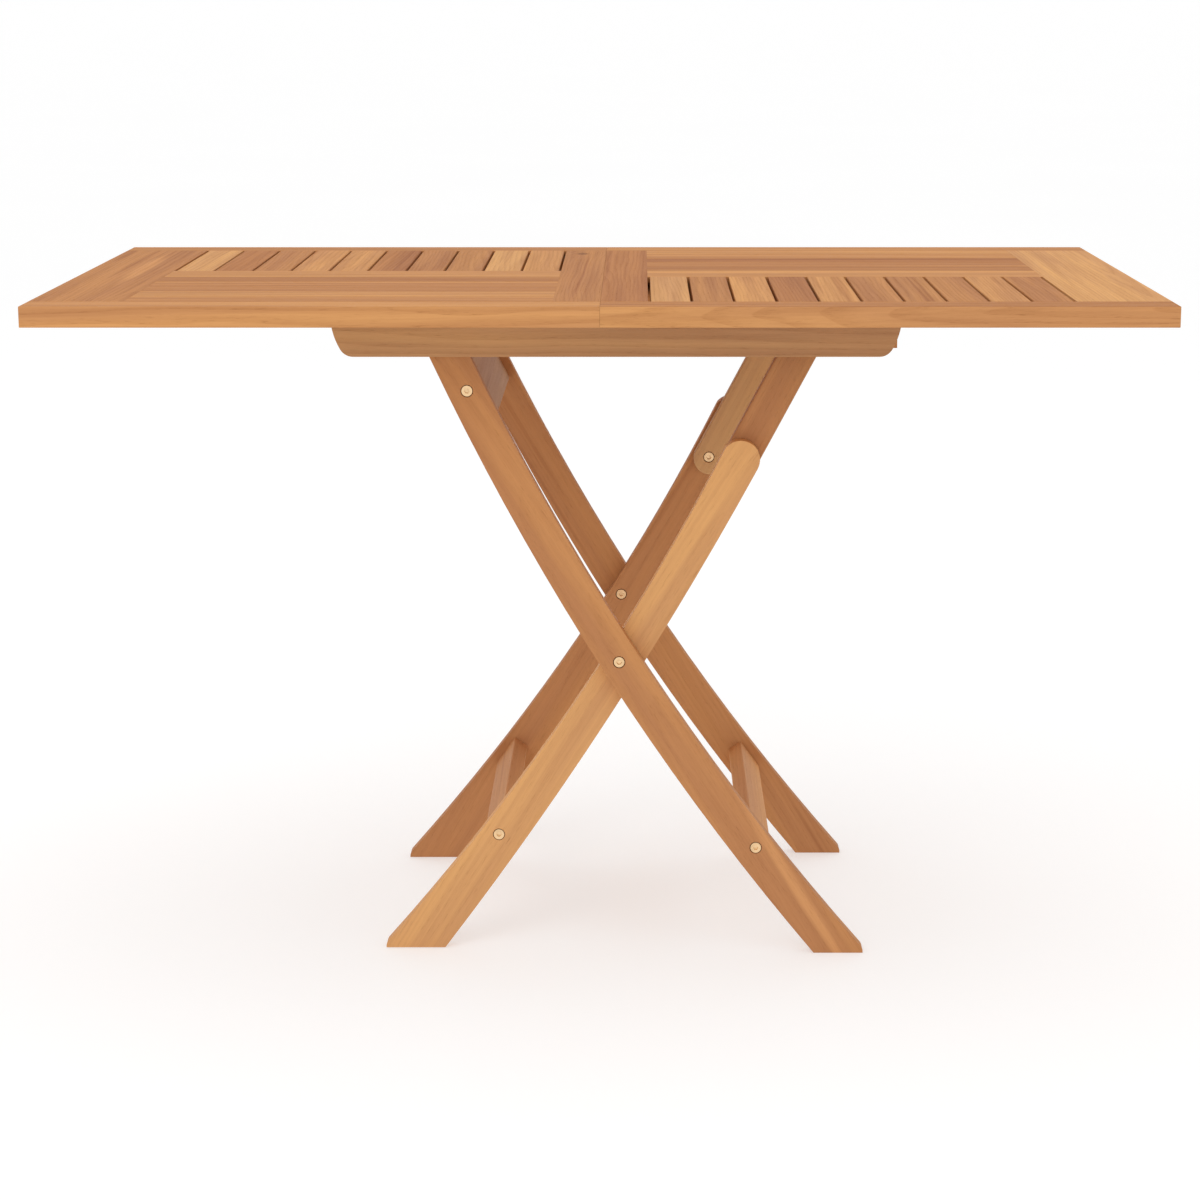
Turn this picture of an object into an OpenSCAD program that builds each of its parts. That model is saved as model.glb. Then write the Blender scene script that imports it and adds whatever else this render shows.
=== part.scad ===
// Folding garden table: a slatted top on two scissor leg frames.
// Origin: on the floor under the middle of the top. +X runs along the top, +Y to its rear, +Z up.

/* [Top] */
// Length of the whole top
top_l = 1200; // [1080:1:1440]
// Width of the whole top
top_w = 700; // [640:1:840]
// Height of the upper face above the floor
top_h = 750; // [740:1:760]
// Thickness of the rails, slats and boards
board_t = 22; // [20:1:26]
// Width of the wide rail across each end
end_rail_w = 100; // [70:1:120]
// Width of the rail beside the middle seam
seam_rail_w = 50; // [46:1:60]
// Width of the rails along the front and the rear
side_rail_w = 50; // [40:1:60]
// Width of the rail between the slats and the boards
mid_rail_w = 70; // [50:1:84]

/* [Slats and boards] */
// Slats in each half
slat_count = 10; // [8:1:12]
// Gap beside each slat
slat_gap = 3; // [2:0.5:6]
// Boards in each half
board_count = 5; // [4:1:6]
// Seam between neighbouring boards
board_seam = 0.5; // [0.3:0.1:1.5]
// Bevel along the edges of slats and boards
edge_bevel = 0.8; // [0.4:0.1:1.2]
// Length of the tongues at the ends of slats and boards
tongue_l = 8; // [5:1:10]
// Thickness of tongues and tenons
tongue_t = 8; // [6:1:9]
// Length of the tenons at the ends of the rails
tenon_l = 25; // [15:1:30]

/* [Aprons] */
// Left end of the aprons, from the middle seam
apron_left = -292; // [-310:1:-262]
// Right end of the aprons, from the middle seam
apron_right = 324; // [318:1:350]
// Height of the aprons and bearers
apron_h = 46; // [44:1:54]
// Thickness of the aprons and bearers
apron_t = 20; // [18:1:24]
// Rounding of the lower corners of the aprons
apron_round = 16; // [10:1:20]
// Length over which the ends of the aprons sweep up from their lower edge
apron_sweep = 24; // [22:1:40]
// Length of each bearer
bearer_l = 140; // [130:1:160]

/* [Legs] */
// Distance from the middle line of the table to the outer face of an outer leg
leg_out = 202.6; // [190:0.2:230]
// Thickness of legs and links
leg_t = 18; // [17:0.5:20]
// Width of an outer leg beside the cross pivot
outer_leg_w = 42; // [40:1:48]
// Width of an inner leg beside the cross pivot
inner_leg_w = 40; // [38:1:46]
// Gap between neighbouring layers
layer_gap = 1; // [1:0.1:1.4]
// Width of a link
link_w = 39; // [37:1:41]
// Length of the stretchers' section along the leg
stretcher_w = 40; // [36:1:46]
// Thickness of the stretchers
stretcher_t = 19; // [16:1:20]
// Length of the cross rail's section along the leg
cross_rail_w = 84; // [76:1:86]

/* [Hardware] */
// Diameter of the bolt heads
head_d = 12; // [10:0.5:13]
// Thickness of the bolt heads
head_t = 4; // [3:0.5:4.5]
// Diameter of the bolt shanks
shank_d = 8; // [6:0.5:8]
// Radial clearance of a shank that a wooden part turns on
running_fit = 0.05; // [0.02:0.01:0.09]
// Width across the flats of the hexagon sockets
socket_flats = 5; // [4:0.5:6]

/* [Hidden] */
$fn = 96;
eps = 0.01;
arc_fn = 720;

half_l = top_l / 2;
half_w = top_w / 2;
under = top_h - board_t;
field_out = half_l - end_rail_w;
field_l = field_out - seam_rail_w;
field_y0 = mid_rail_w / 2;
field_y1 = half_w - side_rail_w;
field_w = field_y1 - field_y0;
seam_half = 0.1;
slat_w = (field_l - (slat_count + 1) * slat_gap) / slat_count;
board_w = (field_w - (board_count - 1) * board_seam) / board_count;
tenon_side = 12;
tenon_z = under + (board_t - tongue_t) / 2;

// Layers, counted outwards from the middle line of the table
outer_in = leg_out - leg_t;
inner_out = outer_in - layer_gap;
inner_in = inner_out - leg_t;
link_out = inner_in - layer_gap;
link_in = link_out - leg_t;
bearer_out = link_in - layer_gap;
apron_in = leg_out + layer_gap;
apron_z = under - apron_h;

// Pivots and bolts in the plane of the legs, as [along, up]. They are laid out for an
// underside 728 up and keep their angles when the table is made higher or lower.
rise = under / 728;
leg_pivot = rise * [-181, 693];
cross_pivot = rise * [18.5, 338.5];
hinge = rise * [125.5, 513];
link_pivot = rise * [231, 694];
cross_rail_at = rise * [-147, 642];
outer_stretcher_at = rise * [172, 124];
inner_stretcher_at = rise * [-118, 134];

// Each edge of a leg is an arc: where it passes edge_z, its lean from the vertical there, its radius
edge_z = rise * 339;
outer_mid = rise * 19.9;
inner_mid = rise * 25.6;
outer_half = outer_leg_w / 2 / cos(32.3);
inner_half = inner_leg_w / 2 / cos(31.6);
outer_left = [outer_mid - outer_half, 31.8, rise * 3070];
outer_right = [outer_mid + outer_half, 32.7, rise * 2930];
inner_left = [inner_mid - inner_half, 32.35, rise * 2690];
inner_right = [inner_mid + inner_half, 31.4, rise * 4330];
top_clear = 1;
leg_top_r = under - top_clear - leg_pivot[1];
tip_at = rise * [152.6, 563];
tip_lean = 27.5;
tip_r = 21.3;
toe_r = 9;
toe_cut = 4.4;

// Leftward lean of the bars across the frames, from the vertical
cross_rail_lean = 27;
outer_stretcher_lean = 36;
inner_stretcher_lean = -35;

// The link's middle line: its lean and the points where its round ends are centred
link_lean = 28;
link_low = rise * [126.7, 511.1];
link_len = rise * 206;

// Hardware
recess = 0.3;
bore_d = head_d + 1.6;
insert_d = shank_d + 4;
insert_l = leg_t - 3;
washer_d = shank_d + 14;
washer_t = 0.6;
frame_bolt_l = 60;
nut_d = shank_d + 2;
nut_l = 14;
nut_at = 32;
dowel_d = 6;
dowel_l = 24;
dowel_step = 12;
screw_d = 4.4;
screw_head_d = 8;
screw_rise = 14;
screw_sink = 10;

// ---------- Helpers ----------

// Middle of a slat, counted from the end rail of its half
function slat_mid(i) = field_out - slat_gap - slat_w / 2 - i * (slat_w + slat_gap);

// Middle of the slat nearest to a place x along the top
function slat_near(x) = slat_mid(round((slat_mid(0) - x) / (slat_w + slat_gap)));

// The last slat over an apron that is clear of the apron's rounded corner
function slat_before_corner(x) = slat_near(x - apron_sweep - 30);

// Screws that hold the aprons and the bearers, as places along the top
apron_screws_x = [-slat_before_corner(-apron_left), -slat_near(120), -seam_rail_w / 2,
  seam_rail_w / 2, slat_near(120), slat_before_corner(apron_right)];
bearer_x = link_pivot[0] - 45;
bearer_screws_x = [slat_near(bearer_x + 22), slat_near(bearer_x + bearer_l - 28)];

module both_sides() {
  children();
  mirror([0, 1, 0]) children();
}

module front() {
  mirror([0, 1, 0]) children();
}

module right_half() {
  rotate([0, 0, 180]) children();
}

// A cylinder across the table, from y0 to y1
module across(at, d, y0, y1) {
  translate([at[0], y0, at[1]]) rotate([-90, 0, 0]) cylinder(d = d, h = y1 - y0);
}

// A flat outline in the plane of the legs, given its thickness from y0 to y1
module slab(y0, y1) {
  translate([0, y1, 0]) rotate([90, 0, 0]) linear_extrude(y1 - y0) children();
}

// A flat bar along X with bevelled long edges, its lower corner at the origin
module bar(l, w, t, bevel) {
  rotate([90, 0, 90]) linear_extrude(l) polygon([
    [bevel, 0], [w - bevel, 0], [w, bevel], [w, t - bevel],
    [w - bevel, t], [bevel, t], [0, t - bevel], [0, bevel]
  ]);
}

// ---------- Top: the left half, which the right half repeats turned about the middle ----------

// Tenons of a rail that runs front to rear, at both of its ends
module cross_tenons(x0, w) {
  for (s = [-1, 1])
    translate([x0 + tenon_side, s > 0 ? field_y1 - eps : -field_y1 - tenon_l, tenon_z])
      cube([w - 2 * tenon_side, tenon_l + eps, tongue_t]);
}

// Tenons of the middle rail, into the end rail and the seam rail
module mid_tenons() {
  for (x = [-field_out - tenon_l, -seam_rail_w - eps])
    translate([x, -field_y0 + tenon_side, tenon_z])
      cube([tenon_l + eps, mid_rail_w - 2 * tenon_side, tongue_t]);
}

// Grooves for the tongues of the boards, along the end rail and the seam rail
module board_grooves() {
  translate([-field_out - tongue_l, -field_y1, tenon_z])
    cube([field_l + 2 * tongue_l, field_w, tongue_t]);
}

// Grooves for the tongues of the slats, along the rear rail and the middle rail
module slat_grooves() {
  translate([-field_out, field_y0 - tongue_l, tenon_z])
    cube([field_l, field_w + 2 * tongue_l, tongue_t]);
}

// Pilot holes for the screws that come up from the aprons and bearers
module pilot_holes() {
  both_sides() {
    for (x = apron_screws_x)
      translate([x, apron_in + apron_t / 2, under - eps]) cylinder(d = screw_d, h = screw_rise + eps);
    for (x = bearer_screws_x)
      translate([x, bearer_out - apron_t / 2, under - eps]) cylinder(d = screw_d, h = screw_rise + eps);
  }
}

module end_rail() {
  difference() {
    translate([-half_l, -field_y1, under])
      cube([end_rail_w, 2 * field_y1, board_t]);
    board_grooves();
    mid_tenons();
  }
  cross_tenons(-half_l, end_rail_w);
}

module seam_rail() {
  difference() {
    translate([-seam_rail_w, -field_y1, under])
      cube([seam_rail_w - seam_half, 2 * field_y1, board_t]);
    board_grooves();
    mid_tenons();
  }
  cross_tenons(-seam_rail_w, seam_rail_w - seam_half);
}

module side_rail(y0) {
  difference() {
    translate([-half_l, y0, under]) bar(half_l - seam_half, side_rail_w, board_t, edge_bevel);
    cross_tenons(-half_l, end_rail_w);
    cross_tenons(-seam_rail_w, seam_rail_w - seam_half);
    slat_grooves();
  }
}

module mid_rail() {
  difference() {
    translate([-field_out, -field_y0, under]) cube([field_l, mid_rail_w, board_t]);
    slat_grooves();
  }
  mid_tenons();
}

module slats() {
  for (i = [0 : slat_count - 1])
    translate([-slat_mid(i), 0, 0]) {
      translate([slat_w / 2, field_y0, under]) rotate([0, 0, 90]) bar(field_w, slat_w, board_t, edge_bevel);
      translate([-slat_w / 2 + 4, field_y0 - tongue_l, tenon_z])
        cube([slat_w - 8, field_w + 2 * tongue_l, tongue_t]);
    }
}

module boards() {
  for (i = [0 : board_count - 1])
    translate([-field_out, -field_y1 + i * (board_w + board_seam), 0]) {
      translate([0, 0, under]) bar(field_l, board_w, board_t, edge_bevel);
      translate([-tongue_l, 4, tenon_z]) cube([field_l + 2 * tongue_l, board_w - 8, tongue_t]);
    }
}

module left_end_rail() { color("#c88e64") end_rail(); }

module left_seam_rail() {
  color("#bf8560") difference() {
    seam_rail();
    pilot_holes();
  }
}

module left_front_rail() { color("#cf975f") side_rail(-half_w); }

module left_rear_rail() { color("#c98f5f") side_rail(field_y1); }

module left_mid_rail() { color("#c48a60") mid_rail(); }

module left_slats() {
  color("#c78c62") difference() {
    slats();
    pilot_holes();
  }
}

module left_boards() {
  color("#bf855c") difference() {
    boards();
    pilot_holes();
  }
}

module right_end_rail() { color("#d39c68") right_half() end_rail(); }

module right_seam_rail() {
  color("#be8460") difference() {
    right_half() seam_rail();
    pilot_holes();
  }
}

module right_front_rail() { color("#ce9662") right_half() side_rail(field_y1); }

module right_rear_rail() { color("#c98f5f") right_half() side_rail(-half_w); }

module right_mid_rail() { color("#c48a60") right_half() mid_rail(); }

module right_slats() {
  color("#c9905f") difference() {
    right_half() slats();
    pilot_holes();
  }
}

module right_boards() {
  color("#c38a5e") difference() {
    right_half() boards();
    pilot_holes();
  }
}

// ---------- Aprons and bearers ----------

// Radius of the upper part of an apron's end, which stands upright at the top of the apron
// and runs on into the lower corner
end_r = (pow(apron_sweep, 2) + pow(apron_h - apron_round, 2) - pow(apron_round, 2))
  / (2 * (apron_sweep - apron_round));
corner_dir = [end_r - apron_sweep, apron_round - apron_h] / (end_r - apron_round);

// Half of an apron's outline, with its end at x = 0 and its length towards -X
module apron_half(l) {
  corner = [-apron_sweep, apron_z + apron_round];
  difference() {
    intersection() {
      translate([-l, apron_z]) square([l, apron_h]);
      union() {
        translate([-end_r, under]) circle(r = end_r);
        translate([-l, apron_z]) square([l - end_r, apron_h]);
      }
    }
    polygon([corner, corner - [0, apron_round + 2], corner + 2.5 * apron_round * corner_dir]);
  }
  translate(corner) circle(r = apron_round);
}

module apron_outline() {
  middle = (apron_left + apron_right) / 2;
  half = (apron_right - apron_left) / 2;
  for (s = [0, 1])
    translate([middle, 0]) mirror([s, 0]) translate([half, 0]) apron_half(half + eps);
}

// Holes for upright screws, wider below for their heads
module screw_holes(places, y) {
  for (x = places)
    translate([x, y, apron_z - eps]) {
      cylinder(d = screw_d, h = apron_h + 1);
      cylinder(d = screw_head_d + 1, h = screw_sink);
    }
}

module apron() {
  difference() {
    slab(apron_in, apron_in + apron_t) apron_outline();
    screw_holes(apron_screws_x, apron_in + apron_t / 2);
    across(leg_pivot, insert_d, apron_in - eps, apron_in + insert_l);
  }
}

module bearer() {
  difference() {
    translate([bearer_x, bearer_out - apron_t, apron_z]) cube([bearer_l, apron_t, apron_h]);
    screw_holes(bearer_screws_x, bearer_out - apron_t / 2);
    across(link_pivot, insert_d, bearer_out - insert_l, bearer_out + eps);
  }
}

module front_apron() { color("#b28052") front() apron(); }

module rear_apron() { color("#ad7c50") apron(); }

module front_bearer() { color("#ab7a4e") front() bearer(); }

module rear_bearer() { color("#ab7a4e") bearer(); }

module screws(places, y) {
  for (x = places)
    translate([x, y, apron_z + screw_sink - 3]) {
      cylinder(d = screw_head_d, h = 3);
      cylinder(d = screw_d, h = under + screw_rise - apron_z - screw_sink + 3);
    }
}

module top_screws() {
  color("#cfa873") both_sides() {
    screws(apron_screws_x, apron_in + apron_t / 2);
    screws(bearer_screws_x, bearer_out - apron_t / 2);
  }
}

// ---------- Bolts, inserts and washers ----------

// A bolt across the table: head at y_head, shank reaching y_end, hexagon socket in the head
module bolt(at, y_head, y_end, d) {
  s = y_end > y_head ? 1 : -1;
  y_neck = y_head + s * head_t;
  difference() {
    union() {
      across(at, head_d, min(y_head, y_neck), max(y_head, y_neck));
      across(at, d, min(y_neck - s * 0.5, y_end), max(y_neck - s * 0.5, y_end));
    }
    translate([at[0], y_head - s * eps, at[1]]) rotate([s * -90, 0, 0])
      linear_extrude(head_t * 0.7) circle(d = socket_flats / cos(30), $fn = 6);
  }
}

// A threaded insert that a bolt end sits in
module insert(at, y0, y1, hole_d) {
  difference() {
    across(at, insert_d - 0.04, y0, y1);
    across(at, hole_d, y0 - eps, y1 + eps);
  }
}

module washer(at, y0, hole_d) {
  difference() {
    across(at, washer_d, y0, y0 + washer_t);
    across(at, hole_d, y0 - eps, y0 + washer_t + eps);
  }
}

// The pocket for a head that lies just under the face at y_face
module head_pocket(at, y_face, inwards) {
  y_floor = y_face + inwards * (head_t + recess);
  across(at, bore_d, min(y_face - inwards * eps, y_floor), max(y_face - inwards * eps, y_floor));
}

module leg_pivot_bolts() {
  color("#e0be84") both_sides()
    bolt(leg_pivot, outer_in + recess, apron_in + insert_l - 1, shank_d);
}

module leg_pivot_inserts() {
  color("#d2ae74") both_sides()
    insert(leg_pivot, apron_in, apron_in + insert_l, shank_d + 0.04);
}

module link_pivot_bolts() {
  color("#e0be84") both_sides()
    bolt(link_pivot, link_out - recess, bearer_out - insert_l + 1, shank_d);
}

module link_pivot_inserts() {
  color("#d2ae74") both_sides()
    insert(link_pivot, bearer_out - insert_l, bearer_out, shank_d + 0.04);
}

module leg_pivot_washers() {
  color("#d2ae74") both_sides() washer(leg_pivot, leg_out, shank_d + 1);
}

module cross_pivot_washers() {
  color("#d2ae74") both_sides() washer(cross_pivot, outer_in - washer_t, shank_d + 1);
}

module hinge_washers() {
  color("#d2ae74") both_sides() washer(hinge, link_out, shank_d + 1);
}

module link_pivot_washers() {
  color("#d2ae74") both_sides() washer(link_pivot, link_in - washer_t, shank_d + 1);
}

// ---------- Outer leg frame ----------

// A disc whose edge passes edge_z at arc[0], leaning by arc[1], with its centre
// up to the right (side 1) or up to the left (side -1)
module arc_disc(arc, side) {
  translate([arc[0] + side * arc[2] * cos(arc[1]), edge_z + arc[2] * sin(arc[1])])
    circle(r = arc[2], $fn = arc_fn);
}

// Where such an edge meets the floor
function floor_x(arc, side) =
  let (rise = edge_z + arc[2] * sin(arc[1]))
  arc[0] + side * (arc[2] * cos(arc[1]) - sqrt(pow(arc[2], 2) - pow(rise, 2)));

// Lean of such an edge at the floor, from the vertical
function floor_lean(arc) = asin((edge_z + arc[2] * sin(arc[1])) / arc[2]);

// A toe is cut upright, toe_cut back from its sharp corner, and rounded above the cut:
// how far the rounding runs up from and below the corner between the edge and the cut
function toe_run(arc) = toe_r * tan(floor_lean(arc) / 2);
function toe_corner(arc, side) = [floor_x(arc, side) - side * toe_cut, toe_cut / tan(floor_lean(arc))];

module toe_wedge(arc, side) {
  corner = toe_corner(arc, side);
  run = toe_run(arc);
  lean = floor_lean(arc);
  polygon([
    [corner[0], -2], [corner[0], corner[1] - run],
    corner + run * [-side * sin(lean), cos(lean)],
    corner + run * [-side * sin(lean), cos(lean)] + [side * 20, 0], [corner[0] + side * 20, -2]
  ]);
}

module toe_disc(arc, side) {
  corner = toe_corner(arc, side);
  intersection() {
    translate([corner[0] - side * toe_r, corner[1] - toe_run(arc)]) circle(r = toe_r);
    translate([corner[0] - toe_r, 0]) square([2 * toe_r, 2 * toe_r]);
  }
}

module outer_leg_outline() {
  difference() {
    intersection() {
      difference() {
        arc_disc(outer_left, 1);
        arc_disc(outer_right, 1);
      }
      union() {
        translate([-half_l, 0]) square([top_l, leg_pivot[1]]);
        translate(leg_pivot) circle(r = leg_top_r);
      }
    }
    toe_wedge(outer_right, 1);
  }
  toe_disc(outer_right, 1);
}

module outer_leg() {
  difference() {
    slab(outer_in, leg_out) outer_leg_outline();
    across(leg_pivot, shank_d + 2 * running_fit, outer_in - 1, leg_out + 1);
    head_pocket(leg_pivot, outer_in, 1);
    for (at = [cross_pivot, cross_rail_at, outer_stretcher_at]) {
      across(at, shank_d + 0.2, outer_in - 1, leg_out + 1);
      head_pocket(at, leg_out, -1);
    }
    outer_dowels(0.1);
  }
}

// A bar between a pair of legs, its width along a line that leans by lean, offset along it by shift
module cross_bar(at, lean, w, t, shift, y_end) {
  translate([at[0], -y_end, at[1]]) rotate([0, lean, 0]) rotate([0, 0, 90])
    translate([0, -t / 2, -w / 2 + shift]) rotate([90, 0, 90]) linear_extrude(2 * y_end)
      polygon([[1, 0], [t - 1, 0], [t, 1], [t, w - 1], [t - 1, w], [1, w], [0, w - 1], [0, 1]]);
}

// Holes for the frame bolts and barrel nuts at the ends of a bar
module bar_holes(at, lean, y_end) {
  both_sides() {
    across(at, shank_d + 0.2, y_end - frame_bolt_l + leg_t, y_end + 1);
    barrel(at, lean, y_end - nut_at, nut_d + 0.1);
  }
}

// The round body of a barrel nut, lying along the width of its bar
module barrel(at, lean, y, d) {
  translate([at[0], y, at[1]]) rotate([0, -lean, 0]) cylinder(d = d, h = nut_l, center = true);
}

// Dowels beside a frame bolt, a step along the leg from it, across the joint at y_face
module dowels(at, lean, along, y_face, grow) {
  both_sides()
    across([at[0] - along * sin(lean), at[1] + along * cos(lean)], dowel_d + grow,
      y_face - dowel_l / 2, y_face + dowel_l / 2);
}

module outer_dowels(grow) {
  dowels(cross_rail_at, cross_rail_lean, -2 * dowel_step, outer_in, grow);
  dowels(outer_stretcher_at, outer_stretcher_lean, dowel_step, outer_in, grow);
}

module inner_dowels(grow) {
  dowels(inner_stretcher_at, inner_stretcher_lean, dowel_step, inner_in, grow);
}

module front_outer_leg() { color("#b47b50") front() outer_leg(); }

module rear_outer_leg() { color("#a4714a") outer_leg(); }

module outer_cross_rail() {
  color("#a87a5a") difference() {
    cross_bar(cross_rail_at, -cross_rail_lean, cross_rail_w, stretcher_t, -4, outer_in);
    bar_holes(cross_rail_at, cross_rail_lean, outer_in);
    outer_dowels(0.1);
  }
}

module outer_stretcher() {
  color("#b58055") difference() {
    cross_bar(outer_stretcher_at, -outer_stretcher_lean, stretcher_w, stretcher_t, 0, outer_in);
    bar_holes(outer_stretcher_at, outer_stretcher_lean, outer_in);
    outer_dowels(0.1);
  }
}

module outer_frame_bolts() {
  color("#e6c690") both_sides() for (at = [cross_rail_at, outer_stretcher_at])
    bolt(at, leg_out - recess, leg_out - frame_bolt_l, shank_d);
}

module outer_frame_nuts() {
  color("#d2ae74") both_sides() {
    frame_nut(cross_rail_at, cross_rail_lean, outer_in - nut_at);
    frame_nut(outer_stretcher_at, outer_stretcher_lean, outer_in - nut_at);
  }
}

module frame_nut(at, lean, y) {
  difference() {
    barrel(at, lean, y, nut_d);
    across(at, shank_d + 0.04, y - nut_d, y + nut_d);
  }
}

module outer_frame_dowels() { color("#c9a06e") outer_dowels(0); }

// The cross pivot is the joint at which the fold is left open: the bolt in the outer leg and
// the sleeve nut in the inner leg meet in the gap between the two legs
module cross_pivot_bolts() {
  color("#e6c690") both_sides() bolt(cross_pivot, leg_out - recess, outer_in, shank_d);
}

module cross_pivot_sleeves() {
  color("#e6c690") both_sides() bolt(cross_pivot, inner_in + recess, inner_out, shank_d);
}

// ---------- Inner leg frame ----------

module inner_leg_outline() {
  difference() {
    intersection() {
      difference() {
        arc_disc(inner_right, -1);
        arc_disc(inner_left, -1);
      }
      union() {
        translate(tip_at) {
          rotate(-tip_lean) translate([-100, -760]) square([200, 760]);
          circle(r = tip_r);
        }
      }
      translate([-half_l, 0]) square([top_l, under]);
    }
    toe_wedge(inner_left, -1);
  }
  toe_disc(inner_left, -1);
}

module inner_leg() {
  difference() {
    slab(inner_in, inner_out) inner_leg_outline();
    across(cross_pivot, shank_d + 0.2, inner_in - 1, inner_out + 1);
    head_pocket(cross_pivot, inner_in, 1);
    across(hinge, insert_d, inner_in - eps, inner_in + insert_l);
    across(inner_stretcher_at, shank_d + 0.2, inner_in - 1, inner_out + 1);
    head_pocket(inner_stretcher_at, inner_out, -1);
    inner_dowels(0.1);
  }
}

module front_inner_leg() { color("#c89464") front() inner_leg(); }

module rear_inner_leg() { color("#a5714a") inner_leg(); }

module inner_stretcher() {
  color("#b58055") difference() {
    cross_bar(inner_stretcher_at, -inner_stretcher_lean, stretcher_w, stretcher_t, 0, inner_in);
    bar_holes(inner_stretcher_at, inner_stretcher_lean, inner_in);
    inner_dowels(0.1);
  }
}

module inner_frame_bolts() {
  color("#e6c690") both_sides()
    bolt(inner_stretcher_at, inner_out - recess, inner_out - frame_bolt_l, shank_d);
}

module inner_frame_nuts() {
  color("#d2ae74") both_sides()
    frame_nut(inner_stretcher_at, inner_stretcher_lean, inner_in - nut_at);
}

module inner_frame_dowels() { color("#c9a06e") inner_dowels(0); }

module hinge_inserts() {
  color("#d2ae74") both_sides() insert(hinge, inner_in, inner_in + insert_l, shank_d + 0.04);
}

// ---------- Links ----------

module link_outline() {
  translate(link_low) rotate(-link_lean) {
    translate([-link_w / 2, 0]) square([link_w, link_len]);
    for (z = [0, link_len]) translate([0, z]) circle(d = link_w);
  }
}

module link() {
  difference() {
    slab(link_in, link_out) link_outline();
    across(hinge, shank_d + 2 * running_fit, link_in - 1, link_out + 1);
    head_pocket(hinge, link_in, 1);
    across(link_pivot, shank_d + 2 * running_fit, link_in - 1, link_out + 1);
    head_pocket(link_pivot, link_out, -1);
  }
}

module front_link() { color("#a16d46") front() link(); }

module rear_link() { color("#b28054") link(); }

module hinge_bolts() {
  color("#e6c690") both_sides()
    bolt(hinge, link_in + recess, inner_in + insert_l - 1, shank_d);
}

left_end_rail();
left_seam_rail();
left_front_rail();
left_rear_rail();
left_mid_rail();
left_slats();
left_boards();
right_end_rail();
right_seam_rail();
right_front_rail();
right_rear_rail();
right_mid_rail();
right_slats();
right_boards();
front_apron();
rear_apron();
front_bearer();
rear_bearer();
top_screws();
leg_pivot_bolts();
leg_pivot_inserts();
link_pivot_bolts();
link_pivot_inserts();
front_outer_leg();
rear_outer_leg();
outer_cross_rail();
outer_stretcher();
outer_frame_bolts();
outer_frame_nuts();
outer_frame_dowels();
cross_pivot_bolts();
cross_pivot_sleeves();
leg_pivot_washers();
cross_pivot_washers();
front_inner_leg();
rear_inner_leg();
inner_stretcher();
inner_frame_bolts();
inner_frame_nuts();
inner_frame_dowels();
hinge_inserts();
front_link();
rear_link();
hinge_bolts();
hinge_washers();
link_pivot_washers();
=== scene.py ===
# Folding garden table of oiled teak: a slatted and boarded top on two crossed leg frames.
import math
import random

import bmesh
import bpy
from mathutils import Euler, Matrix, Vector


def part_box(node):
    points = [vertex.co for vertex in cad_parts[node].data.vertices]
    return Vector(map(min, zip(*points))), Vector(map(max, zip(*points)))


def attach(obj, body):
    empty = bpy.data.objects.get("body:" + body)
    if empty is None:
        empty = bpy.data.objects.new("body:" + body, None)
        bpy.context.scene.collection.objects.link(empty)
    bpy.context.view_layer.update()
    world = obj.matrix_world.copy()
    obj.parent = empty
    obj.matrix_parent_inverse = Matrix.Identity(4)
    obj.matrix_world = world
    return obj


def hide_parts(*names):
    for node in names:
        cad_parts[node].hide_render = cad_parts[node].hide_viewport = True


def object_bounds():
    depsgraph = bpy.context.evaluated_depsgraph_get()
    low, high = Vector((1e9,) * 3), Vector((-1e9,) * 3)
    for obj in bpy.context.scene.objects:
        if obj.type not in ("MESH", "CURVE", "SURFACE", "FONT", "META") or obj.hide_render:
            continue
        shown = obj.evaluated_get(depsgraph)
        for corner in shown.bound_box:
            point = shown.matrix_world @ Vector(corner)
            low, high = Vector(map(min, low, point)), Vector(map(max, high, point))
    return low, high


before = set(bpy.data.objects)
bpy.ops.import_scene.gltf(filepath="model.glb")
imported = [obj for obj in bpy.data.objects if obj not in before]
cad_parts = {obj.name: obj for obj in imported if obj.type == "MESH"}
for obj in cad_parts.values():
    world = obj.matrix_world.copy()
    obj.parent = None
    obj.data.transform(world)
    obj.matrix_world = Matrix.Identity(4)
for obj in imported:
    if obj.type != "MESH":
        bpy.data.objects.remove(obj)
cad_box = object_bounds()


# ---------- End rails ----------
# A wide plank closes each end of the top, its grain running front to rear, tenoned into the side rails.
# Oiled teak: the left one is rose brown with a pale streak, the right one is light and golden.

class Value:
    """One socket of a material, on which sums are written as they are on plain numbers."""

    def __init__(self, finish, socket):
        self.finish = finish
        self.socket = socket

    def maths(self, operation, first, second=0.0, third=0.0):
        return self.finish.node(
            "ShaderNodeMath", {"operation": operation}, {0: first, 1: second, 2: third})

    def __add__(self, other):
        return self.maths("ADD", self, other)

    def __radd__(self, other):
        return self.maths("ADD", other, self)

    def __sub__(self, other):
        return self.maths("SUBTRACT", self, other)

    def __rsub__(self, other):
        return self.maths("SUBTRACT", other, self)

    def __mul__(self, other):
        return self.maths("MULTIPLY", self, other)

    def __rmul__(self, other):
        return self.maths("MULTIPLY", other, self)

    def __truediv__(self, other):
        return self.maths("DIVIDE", self, other)

    def __pow__(self, other):
        return self.maths("POWER", self, other)

    def __mod__(self, other):
        return self.maths("FLOORED_MODULO", self, other)


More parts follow.
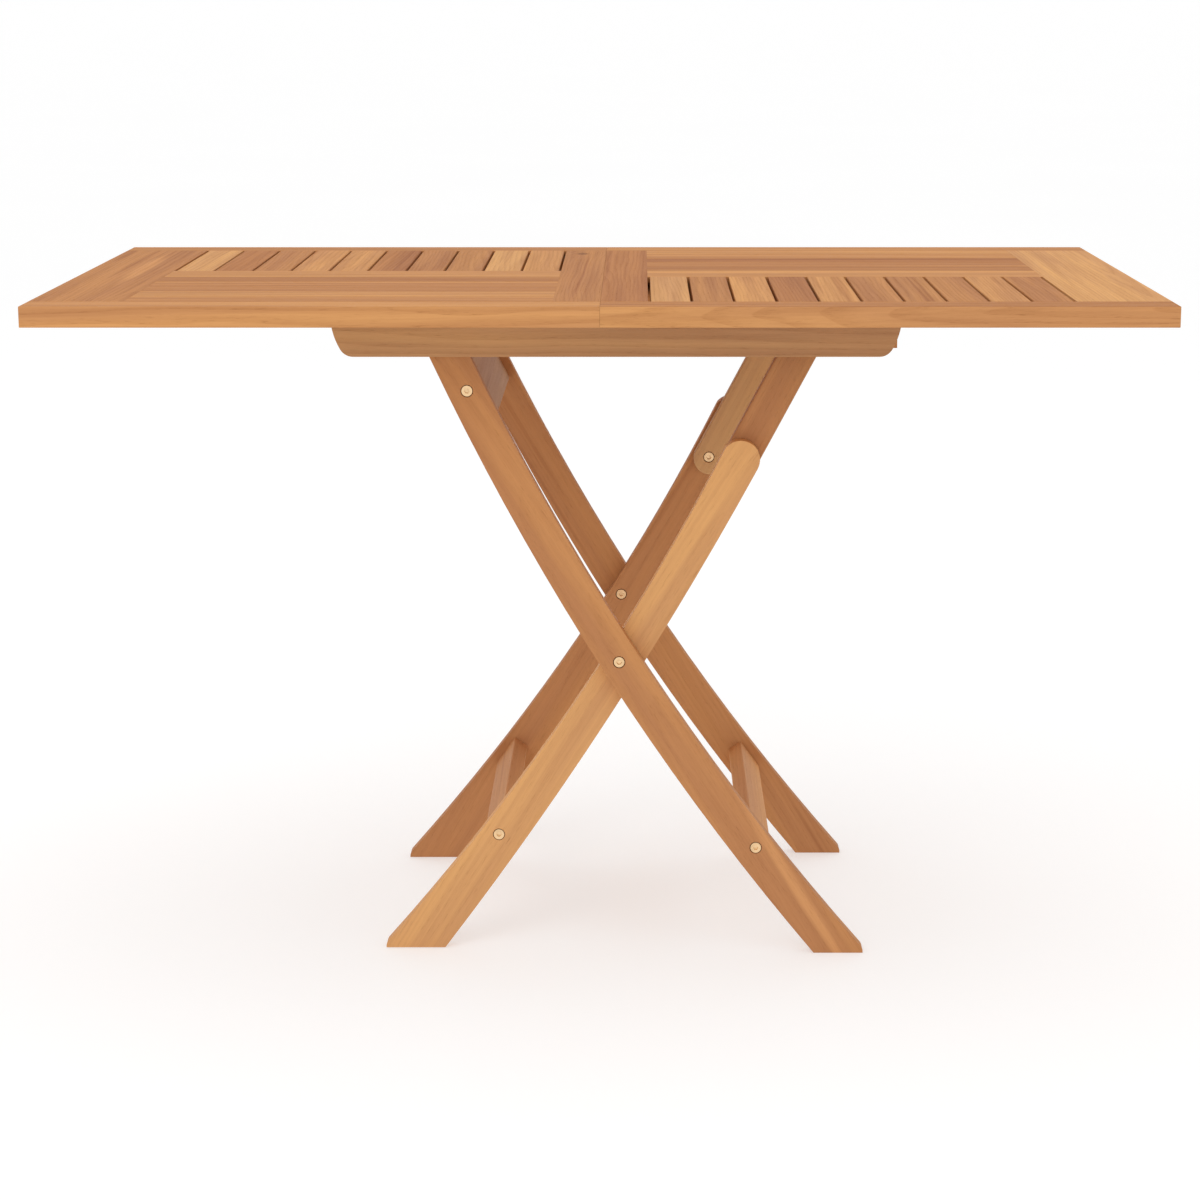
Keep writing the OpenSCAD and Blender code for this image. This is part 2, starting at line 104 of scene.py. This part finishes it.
class Finish:
    """A material in the making."""

    def __init__(self, name):
        self.material = bpy.data.materials.new(name)
        self.material.use_nodes = True
        self.tree = self.material.node_tree
        self.tree.nodes.clear()

    def node(self, kind, settings=None, sockets=None, out=0):
        made = self.tree.nodes.new(kind)
        for name, value in (settings or {}).items():
            if name == "stops":
                ramp = made.color_ramp
                while len(ramp.elements) < len(value):
                    ramp.elements.new(0.5)
                for element, (position, colour) in zip(ramp.elements, value):
                    element.position = position
                    element.color = (*colour, 1.0)
            else:
                setattr(made, name, value)
        for name, value in (sockets or {}).items():
            if isinstance(value, Value):
                self.tree.links.new(value.socket, made.inputs[name])
            elif isinstance(value, tuple) and made.inputs[name].type == "RGBA":
                made.inputs[name].default_value = (*value, 1.0)
            else:
                made.inputs[name].default_value = value
        return Value(self, made.outputs[out]) if made.outputs else None

    def spread(self, value, low, high):
        """0 below low and 1 above high, with a smooth rise between them."""
        return self.node("ShaderNodeMapRange", {"interpolation_type": "SMOOTHSTEP"},
                         {"Value": value, "From Min": low, "From Max": high})

    def noise(self, place, scale, detail=2.0, rough=0.5):
        """Noise stretched by a scale for each direction, from 0 to 1."""
        stretched = self.node("ShaderNodeVectorMath", {"operation": "MULTIPLY"}, {0: place, 1: scale})
        return self.node("ShaderNodeTexNoise", {"noise_dimensions": "3D"},
                         {"Vector": stretched, "Scale": 1.0, "Detail": detail, "Roughness": rough})

    def mixed(self, amount, first, second, way="MIX"):
        return self.node("ShaderNodeMix", {"data_type": "RGBA", "blend_type": way, "clamp_factor": True},
                         {0: amount, 6: first, 7: second}, 2)

    def shaded(self, amount, colour, shade):
        """The colour multiplied by a shade, as far as amount goes."""
        return self.mixed(amount, colour, shade, "MULTIPLY")

    def surface(self, sockets):
        shader = self.node("ShaderNodeBsdfPrincipled", None, sockets)
        self.node("ShaderNodeOutputMaterial", None, {"Surface": shader})
        return self.material


def teak(name, ring_step, ring_depth, streak_depth, gloss, sheen=0.1):
    """Oiled teak, read from each board's own grain coordinates: x runs along the log from its pith.
    ring_step is the width of a year, the depths are how strongly rings and streaks show."""
    wood = Finish(name)
    place = wood.node("ShaderNodeAttribute", {"attribute_name": "grain"}, out="Vector")
    tone = wood.node("ShaderNodeAttribute", {"attribute_name": "tone"}, out="Color")
    lively = wood.node("ShaderNodeAttribute", {"attribute_name": "lively"}, out="Fac")
    worn = wood.node("ShaderNodeAttribute", {"attribute_name": "worn"}, out="Fac")
    from_knot = wood.node("ShaderNodeAttribute", {"attribute_name": "knot"}, out="Vector")
    from_sapwood = wood.node("ShaderNodeAttribute", {"attribute_name": "sapwood"}, out="Vector")

    # A knot is a dark core with the rings swelling round it
    knot_reach = wood.node("ShaderNodeVectorMath", {"operation": "LENGTH"}, {
        0: wood.node("ShaderNodeVectorMath", {"operation": "MULTIPLY"},
                     {0: from_knot, 1: (0.5, 1.0, 0.35)})}, "Value")
    knot_core = 1 - wood.spread(knot_reach, 0.003, 0.010)
    knot_swell = 1 - wood.spread(knot_reach, 0.004, 0.034)

    # A paler streak of sapwood runs part of the way along some boards
    sapwood = 1 - wood.spread(
        wood.node("ShaderNodeVectorMath", {"operation": "LENGTH"}, {0: from_sapwood}, "Value")
        + (wood.noise(place, (6.0, 40.0, 40.0), 2.0, 0.5) - 0.5) * 0.6, 0.25, 1.0)

    # Growth rings about the pith, wandering along the log and crowding in bad years
    wander = wood.noise(place, (2.4, 15.0, 15.0), 2.0, 0.45)
    parts = wood.node("ShaderNodeSeparateXYZ", None, {0: place})
    across = Value(wood, parts.socket.node.outputs["Y"])
    depth = Value(wood, parts.socket.node.outputs["Z"])
    radius = (across * across + depth * depth) ** 0.5
    radius = radius + (wander - 0.5) * 0.020 + knot_swell * 0.014
    crowding = wood.noise(place, (0.7, 40.0, 40.0), 1.0, 0.5)
    year = (radius / ring_step + crowding * 1.6) % 1.0
    late = wood.spread(year, 0.35, 0.93) * (1 - wood.spread(year, 0.94, 1.0))

    # Fibres and pores drawn out along the grain, with broad drifts of gold and rose
    drift = wood.noise(place, (1.1, 26.0, 26.0), 3.0, 0.55)
    band = wood.noise(place, (2.0, 95.0, 95.0), 3.0, 0.55)
    fibre = wood.noise(place, (9.0, 620.0, 620.0), 3.0, 0.6)
    pore_field = wood.noise(place, (70.0, 1900.0, 1900.0), 1.0, 0.5)
    pores = wood.spread(pore_field, 0.60, 0.72) * (0.35 + late * 0.65)
    mineral = wood.spread(wood.noise(place, (0.9, 70.0, 70.0), 2.0, 0.5), 0.60, 0.74) * lively

    colour = wood.shaded(1.0, tone, wood.mixed(wood.spread(drift, 0.34, 0.66),
                                               (1.08, 1.07, 1.01), (0.93, 0.89, 0.92)))
    colour = wood.shaded(wood.spread(band, 0.42, 0.66) * streak_depth, colour, (0.80, 0.74, 0.73))
    colour = wood.shaded(wood.spread(band, 0.52, 0.30) * streak_depth, colour, (1.10, 1.10, 1.05))
    colour = wood.shaded(late * ring_depth, colour, (0.74, 0.66, 0.61))
    colour = wood.shaded(mineral * 0.8, colour, (0.74, 0.64, 0.64))
    colour = wood.shaded(sapwood, colour, (1.26, 1.34, 1.32))
    colour = wood.shaded(wood.spread(fibre, 0.35, 0.70) * 0.35, colour, (0.86, 0.82, 0.79))
    colour = wood.shaded(pores * 0.45, colour, (0.55, 0.47, 0.42))
    colour = wood.shaded(knot_core * 0.75, colour, (0.50, 0.46, 0.48))
    colour = wood.shaded(worn * wood.spread(fibre, 0.30, 0.60) * 0.6, colour, (1.16, 1.15, 1.10))

    rough = gloss + (fibre - 0.5) * 0.16 + pores * 0.14 - worn * 0.08
    height = fibre * 0.45 - pores * 0.8 - late * 0.35 - knot_core * 0.5
    relief = wood.node("ShaderNodeBump", None, {"Strength": 0.45, "Distance": 0.00025, "Height": height})
    return wood.surface({"Base Color": colour, "Roughness": rough, "Normal": relief,
                         "Specular IOR Level": sheen})


def board_lists(mesh):
    """The separate boards in a mesh, each as a list of its vertices."""
    left = set(mesh.verts)
    found = []
    while left:
        reached = [left.pop()]
        board = []
        while reached:
            vert = reached.pop()
            board.append(vert)
            for edge in vert.link_edges:
                other = edge.other_vert(vert)
                if other in left:
                    left.remove(other)
                    reached.append(other)
        found.append(board)
    return found


def middle(verts):
    low = Vector([min(v.co[i] for v in verts) for i in range(3)])
    high = Vector([max(v.co[i] for v in verts) for i in range(3)])
    return (low + high) / 2


def merged(node):
    """A copy of a wooden or brass part's shape with its loose triangles joined into plain faces."""
    mesh = bmesh.new()
    mesh.from_mesh(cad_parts[node].data)
    bmesh.ops.remove_doubles(mesh, verts=mesh.verts, dist=1e-6)
    bmesh.ops.dissolve_limit(mesh, angle_limit=math.radians(0.3), use_dissolve_boundaries=False,
                             verts=mesh.verts, edges=mesh.edges, delimit={"NORMAL"})
    return mesh


def eased(mesh, edges, width, segments=2):
    """Rounds these edges over, and gives back the vertices along the crest of each rounding."""
    made = bmesh.ops.bevel(mesh, geom=edges, offset=width, offset_type="OFFSET", segments=segments,
                           profile=0.5, affect="EDGES", clamp_overlap=True, material=-1)
    rounding = set(made["faces"])
    return {v for v in made["verts"] if v.is_valid and all(f in rounding for f in v.link_faces)}


def finished(mesh, name, body, slot, material, *nodes):
    """Turns a mesh into a smooth-shaded piece that stands for these nodes."""
    for face in mesh.faces:
        face.smooth = True
    for edge in mesh.edges:
        edge.smooth = not edge.is_manifold or edge.calc_face_angle(0.0) < math.radians(50)
    data = bpy.data.meshes.new(name)
    mesh.to_mesh(data)
    mesh.free()
    data.materials.append(material)
    piece = bpy.data.objects.new(name, data)
    bpy.context.scene.collection.objects.link(piece)
    firm = piece.modifiers.new("flat faces stay flat", "WEIGHTED_NORMAL")
    firm.weight = 100
    firm.keep_sharp = True
    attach(piece, body)
    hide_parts(*nodes)
    return piece


# Edges nearer to the middle of the top than this belong to its seam
seam_half = 0.0006
# Edges nearer to the middle of a bolt than this belong to its hole, and are eased by rim_ease
bore_reach = 0.0085
rim_ease = 0.0003
# The upper face of the top lies above this height
top_face = cad_box[1][2] - 0.0005

# Tones of oiled teak from one board to the next; the last two are duller teak that partly carries painted
# shade, for parts deep in the shadow under the top.
tones = {
    "pale": (0.660, 0.352, 0.146),
    "gold": (0.610, 0.305, 0.122),
    "tan": (0.560, 0.270, 0.108),
    "rose": (0.505, 0.236, 0.096),
    "dark": (0.445, 0.196, 0.082),
    "dun_and_shade": (0.540, 0.308, 0.144),
    "grey_and_shade": (0.490, 0.300, 0.175),
}


def timber(node, body, slot, material, woods, seed, grain, face=(0, 0, 1), ease=0.0004,
           sort_by=0, bores=(), knot=None, sapwood=None, upper=None, flat=0.5, lively=0.5):
    """A wooden part with its edges eased. Its boards, taken in order along sort_by, get the tones in
    woods, and each is cut from its own place in a log. flat is how flat-sawn they are, from 0 to 1.
    sapwood is the middle and the half size of a pale streak, and upper is the tone of the upper face."""
    mesh = merged(node)
    # Edges at the seam between the two halves stay sharp, so that the seam stays fine
    sharp = [e for e in mesh.edges if e.is_manifold and e.calc_face_angle(0.0) > math.radians(28)
             and any(abs(v.co.x) > seam_half for v in e.verts)]
    rims = [e for e in sharp if any(
        math.hypot(v.co.x - x, v.co.z - z) < bore_reach for v in e.verts for x, z in bores)]
    crest = eased(mesh, [e for e in sharp if e not in rims], ease)
    rims = [e for e in rims if e.is_valid]
    if rims:
        crest |= eased(mesh, rims, rim_ease)
    chance = random.Random(seed)
    along = Vector(grain).normalized()
    through = Vector(face).normalized()
    to_board = Matrix((along, through.cross(along), through))
    grain_layer = mesh.verts.layers.float_vector.new("grain")
    knot_layer = mesh.verts.layers.float_vector.new("knot")
    tone_layer = mesh.verts.layers.float_color.new("tone")
    sapwood_layer = mesh.verts.layers.float_vector.new("sapwood")
    lively_layer = mesh.verts.layers.float.new("lively")
    worn_layer = mesh.verts.layers.float.new("worn")
    boards = sorted(board_lists(mesh), key=lambda b: middle(b)[sort_by])
    for board, wood in zip(boards, woods, strict=True):
        centre = middle(board)
        from_pith = Vector((
            chance.uniform(2, 40),
            chance.choice((-1, 1)) * (0.010 + (1 - flat) * chance.uniform(0.04, 0.09)),
            -0.025 - flat * chance.uniform(0.0, 0.05)))
        turn = Euler((chance.uniform(-0.25, 0.25), chance.uniform(-0.030, 0.030) * (0.4 + flat),
                      chance.uniform(-0.018, 0.018))).to_matrix()
        shift = chance.uniform(0.97, 1.03)
        mood = lively * chance.uniform(0.3, 1.5)
        for vert in board:
            own = to_board @ (vert.co - centre)
            vert[grain_layer] = turn @ own + from_pith
            vert[knot_layer] = own - Vector(knot) if knot else Vector((1, 1, 1))
            vert[sapwood_layer] = (9, 9, 9)
            if sapwood:
                off = own - Vector(sapwood[0])
                vert[sapwood_layer] = [off[i] / sapwood[1][i] for i in range(3)]
            seen = upper if upper and vert.co.z > top_face else wood
            vert[tone_layer] = (*(Vector(tones[seen]) * shift), 1.0)
            vert[lively_layer] = mood
            vert[worn_layer] = 1.0 if vert in crest else 0.0
    return finished(mesh, "teak_" + node, body, slot, material, node)


top_teak = teak("top_teak", ring_step=0.0042, ring_depth=0.30, streak_depth=0.50, gloss=0.60,
                sheen=0.02)

timber("left_end_rail", "top", "teak_cross_rails", top_teak, ["rose"], 11, (0, 1, 0),
       sapwood=((0.06, -0.01, 0.011), (0.22, 0.012, 0.03)), lively=1.0)
timber("right_end_rail", "top", "teak_cross_rails", top_teak, ["pale"], 12, (0, 1, 0), lively=0.1)


# ---------- Seam rails ----------
# The two halves meet along the middle of the top, each with a narrower rail beside the seam.
# Teak again: the left one has a small knot near its rear end, and the right one is darker.

timber("left_seam_rail", "top", "teak_cross_rails", top_teak, ["rose"], 21, (0, 1, 0),
       knot=(0.255, 0.004, 0.011), lively=1.2)
timber("right_seam_rail", "top", "teak_cross_rails", top_teak, ["dark"], 22, (0, 1, 0), lively=0.8)


# ---------- Side rails ----------
# One rail runs along the front and one along the rear of each half, over the ends of the cross rails.
# Their long edges are bevelled. The fronts show straight grain on the left and arched grain on the right.

timber("left_front_rail", "top", "teak_side_rails", top_teak, ["gold"], 31, (1, 0, 0), flat=0.1)
timber("right_front_rail", "top", "teak_side_rails", top_teak, ["gold"], 32, (1, 0, 0), (0, -1, 0),
       upper="rose", flat=0.9)
timber("left_rear_rail", "top", "teak_side_rails", top_teak, ["tan"], 33, (1, 0, 0), flat=0.2)
timber("right_rear_rail", "top", "teak_side_rails", top_teak, ["tan"], 34, (1, 0, 0), flat=0.2)


# ---------- Middle rails ----------
# Between the slats and the boards of each half lies a teak rail along the middle, which holds both.
# Tongues of the slats sit in a groove along one of its edges.

timber("left_mid_rail", "top", "teak_boards", top_teak, ["gold"], 41, (1, 0, 0), flat=0.2)
timber("right_mid_rail", "top", "teak_boards", top_teak, ["gold"], 42, (1, 0, 0), flat=0.2)


# ---------- Slats ----------
# Ten short slats stand side by side in one quarter of each half, with open gaps and tongues into the rails.
# They are sawn from different planks, so each has a tone of its own. Listed from left to right.

timber("left_slats", "top", "teak_slats", top_teak,
       ["pale", "dark", "rose", "gold", "gold", "dark", "rose", "rose", "pale", "gold"],
       51, (0, 1, 0), lively=0.7)
timber("right_slats", "top", "teak_slats", top_teak,
       ["pale", "rose", "gold", "dark", "gold", "rose", "rose", "rose", "gold", "rose"],
       52, (0, 1, 0), lively=0.7)


# ---------- Boards ----------
# The other quarter of each half is closed with five boards along the top, side by side with fine seams.
# Their ends are tongued into the end rail and the seam rail. Listed from front to rear.

timber("left_boards", "top", "teak_boards", top_teak,
       ["tan", "gold", "rose", "tan", "rose"], 61, (1, 0, 0), sort_by=1, flat=0.25, lively=0.6)
timber("right_boards", "top", "teak_boards", top_teak,
       ["rose", "rose", "dark", "tan", "gold"], 62, (1, 0, 0), sort_by=1, flat=0.25, lively=0.6)


# ---------- Aprons and bearers ----------
# Two long aprons with rounded lower corners stiffen the top and carry the outer legs on their inner sides.
# A short bearer beside each one carries a link. All four are screwed up into the top from below.

apron_teak = teak("apron_teak", ring_step=0.0060, ring_depth=0.26, streak_depth=0.32, gloss=0.60)

# The front apron's dull tone is partly painted shade from the overhanging top.
timber("front_apron", "top", "teak_aprons", apron_teak, ["dun_and_shade"], 71, (1, 0, 0), (0, -1, 0),
       ease=0.0012, flat=0.95, lively=0.3)
timber("rear_apron", "top", "teak_aprons", apron_teak, ["tan"], 72, (1, 0, 0), (0, 1, 0),
       ease=0.0012, flat=0.6, lively=0.4)
timber("front_bearer", "top", "teak_aprons", apron_teak, ["tan"], 73, (1, 0, 0), (0, 1, 0), ease=0.0012)
timber("rear_bearer", "top", "teak_aprons", apron_teak, ["tan"], 74, (1, 0, 0), (0, -1, 0), ease=0.0012)


# ---------- Outer legs ----------
# The outer pair is pinned to the aprons at the top and splays to the right. Each leg is sawn to a gentle
# curve from one thick plank of teak, so its grain runs straight past the curve. Its edges are rounded over.

def seats(*nodes):
    """Where the bolts of these nodes sit, as (x, z): one place, or the two ends of a rising row."""
    places = []
    for node in nodes:
        low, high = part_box(node)
        if high.x - low.x < 0.02:
            places.append(((low.x + high.x) / 2, (low.z + high.z) / 2))
        else:
            places += [(low.x + 0.006, high.z - 0.006), (high.x - 0.006, low.z + 0.006)]
    return places


leg_teak = teak("leg_teak", ring_step=0.0052, ring_depth=0.10, streak_depth=0.22, gloss=0.60)

outer_run = (0.530, 0, -0.848)
outer_seats = seats("leg_pivot_bolts", "cross_pivot_bolts", "outer_frame_bolts")

timber("front_outer_leg", "outer_frame", "teak_legs", leg_teak, ["rose"], 81, outer_run, (0, -1, 0),
       ease=0.0016, bores=outer_seats, sapwood=((0.33, -0.005, 0.009), (0.19, 0.008, 0.03)), flat=0.7,
       lively=0.3)
timber("rear_outer_leg", "outer_frame", "teak_legs", leg_teak, ["rose"], 82, outer_run, (0, 1, 0),
       ease=0.0016, bores=outer_seats, flat=0.5, lively=0.5)


# ---------- Inner legs ----------
# The inner pair crosses the outer one and splays to the left. Its rounded tips are hinged to the links.
# The legs are sawn and rounded over like the outer ones, and the front one is the palest timber of all.

inner_run = (-0.523, 0, -0.852)
inner_seats = seats("hinge_bolts", "cross_pivot_bolts", "inner_frame_bolts")

timber("front_inner_leg", "inner_frame", "teak_legs", leg_teak, ["pale"], 91, inner_run, (0, -1, 0),
       ease=0.0016, bores=inner_seats, flat=0.6, lively=0.1)
timber("rear_inner_leg", "inner_frame", "teak_legs", leg_teak, ["rose"], 92, inner_run, (0, 1, 0),
       ease=0.0016, bores=inner_seats, flat=0.5, lively=0.5)


# ---------- Links ----------
# A straight link of teak with round ends joins each inner leg to its bearer, and locks just past straight.
# It turns on a brass bolt at each end, and its edges are rounded over.

link_run = (0.469, 0, 0.883)
link_seats = seats("hinge_bolts", "link_pivot_bolts")

timber("front_link", "links", "teak_links", leg_teak, ["rose"], 101, link_run, (0, -1, 0),
       ease=0.0016, bores=link_seats, flat=0.3)
timber("rear_link", "links", "teak_links", leg_teak, ["dun_and_shade"], 102, link_run, (0, 1, 0),
       ease=0.0016, bores=link_seats, flat=0.3)


# ---------- Stretchers ----------
# Flat bars tie the legs of each pair together, low down; a wider one ties the outer pair at the top.
# Bolts into barrel nuts and a pair of dowels hold them. Their arrises are planed off.

# The cross rail's dull tone is partly painted shade, as it sits high in the shadow under the top.
timber("outer_cross_rail", "outer_frame", "teak_stretchers", leg_teak, ["grey_and_shade"], 111, (0, 1, 0),
       (-0.891, 0, -0.454), flat=0.4, lively=0.8)
timber("outer_stretcher", "outer_frame", "teak_stretchers", leg_teak, ["gold"], 112, (0, 1, 0),
       (-0.809, 0, -0.588), flat=0.4)
timber("inner_stretcher", "inner_frame", "teak_stretchers", leg_teak, ["tan"], 113, (0, 1, 0),
       (0.819, 0, -0.574), flat=0.4)


# ---------- Dowels ----------
# Round pegs of bare beech, turned and glued into the joints beside the frame bolts, almost hidden.
# They keep the stretchers from twisting.

def beech():
    wood = Finish("beech")
    place = wood.node("ShaderNodeTexCoord", out="Object")
    fleck = wood.noise(place, (1400.0, 90.0, 1400.0), 2.0, 0.6)
    colour = wood.mixed(wood.spread(fleck, 0.35, 0.70), (0.62, 0.40, 0.22), (0.46, 0.27, 0.13))
    relief = wood.node("ShaderNodeBump", None, {"Strength": 0.3, "Distance": 0.0002, "Height": fleck})
    return wood.surface({"Base Color": colour, "Roughness": 0.55 + fleck * 0.15, "Normal": relief})


def painted(nodes, material):
    """Gives parts whose shape is already right their material."""
    for node in nodes:
        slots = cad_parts[node].data.materials
        slots.clear()
        slots.append(material)


painted(["outer_frame_dowels", "inner_frame_dowels"], beech())


# ---------- Bolts ----------
# Round brass heads sunk just below the wood, each with a hexagon socket, satin from tumbling with cloudy
# duller patches. The same bolts hold the frames and turn in the pivots.

def brass(name, bright):
    metal = Finish(name)
    place = metal.node("ShaderNodeTexCoord", out="Object")
    cloud = metal.noise(place, (160.0, 160.0, 160.0), 3.0, 0.6)
    scratch = metal.noise(place, (2600.0, 2600.0, 240.0), 2.0, 0.7)
    tarnish = metal.spread(cloud, 0.45, 0.75)
    colour = metal.mixed(tarnish, bright, tuple(c * 0.84 for c in bright))
    relief = metal.node("ShaderNodeBump", None,
                        {"Strength": 0.25, "Distance": 0.00005, "Height": scratch})
    return metal.surface({"Base Color": colour, "Metallic": 1.0, "Normal": relief,
                          "Roughness": 0.30 + tarnish * 0.14 + (scratch - 0.5) * 0.12})


bolt_brass = brass("bolt_brass", (0.86, 0.60, 0.34))

for node, body in (
        ("leg_pivot_bolts", "top"), ("link_pivot_bolts", "top"),
        ("outer_frame_bolts", "outer_frame"), ("cross_pivot_bolts", "outer_frame"),
        ("cross_pivot_sleeves", "inner_frame"), ("inner_frame_bolts", "inner_frame"),
        ("hinge_bolts", "inner_frame")):
    shape = merged(node)
    eased(shape, [e for e in shape.edges if e.is_manifold
                  and e.calc_face_angle(0.0) > math.radians(45)], 0.00045, 3)
    finished(shape, "brass_" + node, body, "brass", bolt_brass, node)


# ---------- Inserts, nuts, washers and screws ----------
# Plain turned and stamped brass that mostly stays out of sight inside and between the wooden parts.
# It is left as it came from the lathe or the press, a little darker than the bolt heads.

painted(["leg_pivot_inserts", "link_pivot_inserts", "hinge_inserts", "outer_frame_nuts",
         "inner_frame_nuts", "leg_pivot_washers", "cross_pivot_washers", "hinge_washers",
         "link_pivot_washers", "top_screws"], brass("fitting_brass", (0.72, 0.49, 0.27)))


# ---------- Floor ----------
# A wide, plain, pale studio floor just under the feet, lit a little from within like a light table.

def studio_floor():
    floor = Finish("studio_floor")
    place = floor.node("ShaderNodeTexCoord", out="Object")
    cloud = floor.noise(place, (0.6, 0.6, 0.6), 2.0, 0.5)
    return floor.surface({"Base Color": floor.mixed(cloud, (0.60, 0.60, 0.60), (0.62, 0.62, 0.62)),
                          "Emission Color": (1.0, 1.0, 1.0), "Emission Strength": 0.42,
                          "Roughness": 0.9, "Specular IOR Level": 0.1})


ground = bmesh.new()
bmesh.ops.create_grid(ground, x_segments=1, y_segments=1, size=400.0)
bmesh.ops.translate(ground, vec=(0, 0, -0.0005), verts=ground.verts)
ground_data = bpy.data.meshes.new("floor")
ground.to_mesh(ground_data)
ground.free()
ground_data.materials.append(studio_floor())
floor = bpy.data.objects.new("floor", ground_data)
bpy.context.scene.collection.objects.link(floor)


# ---------- Light and camera ----------
# An even white surround with two large soft panels, one above and one from the front left.

world = bpy.data.worlds.new("studio")
world.use_nodes = True
world.node_tree.nodes["Background"].inputs["Color"].default_value = (1.0, 1.0, 1.0, 1.0)
world.node_tree.nodes["Background"].inputs["Strength"].default_value = 0.92
bpy.context.scene.world = world


def panel(name, place, aim, size, power):
    light = bpy.data.lights.new(name, "AREA")
    light.shape = "SQUARE"
    light.size = size
    light.energy = power
    held = bpy.data.objects.new(name, light)
    held.location = place
    held.rotation_euler = (Vector(aim) - Vector(place)).to_track_quat("-Z", "Y").to_euler()
    bpy.context.scene.collection.objects.link(held)


panel("overhead_panel", (0.2, 0.3, 3.6), (0, 0, 0.4), 3.0, 12)
panel("front_panel", (-1.8, -3.9, 3.6), (0, 0, 0.45), 2.4, 36)

camera_data = bpy.data.cameras.new("camera")
camera_data.sensor_width = 36.0
camera_data.lens = 86.25
camera_data.shift_x = -0.033
camera = bpy.data.objects.new("camera", camera_data)
camera.location = (0.0412, -3.3127, 1.0699)
camera.rotation_euler = (math.radians(78.01), 0, 0)
bpy.context.scene.collection.objects.link(camera)
bpy.context.scene.camera = camera
bpy.context.scene.view_settings.view_transform = "Standard"
